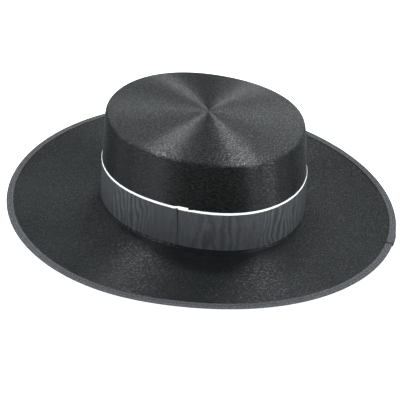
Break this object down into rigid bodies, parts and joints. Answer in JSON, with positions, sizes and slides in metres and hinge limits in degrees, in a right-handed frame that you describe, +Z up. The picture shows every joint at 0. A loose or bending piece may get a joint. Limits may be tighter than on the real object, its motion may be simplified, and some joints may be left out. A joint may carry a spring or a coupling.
{
  "type": "gaucho hat",
  "caption": "Low flat-topped felt hat with a wide, slightly upturned bound brim, a ribbon round the crown and a flat white cord along its top edge.",
  "frame": {"origin": "the middle of the hat's outline, in the plane of the flat ring under the brim that it rests on", "axes": "+Z up through the crown, -Y towards the front of the hat, +X towards the wearer's left"},
  "size_m": [0.3542, 0.3872, 0.0993],
  "materials": {
    "felt": "brushed long nap, laid round the hat",
    "binding_ribbon": "ribbed ribbon, dull satin",
    "band_ribbon": "ribbed ribbon with a watered sheen",
    "white_cord": "matt flat braid"
  },
  "bodies": {
    "root": {"felt_body": "felt", "brim_binding": "binding_ribbon", "hat_band": "band_ribbon", "band_cord": "white_cord"}
  },
  "joints": []
}
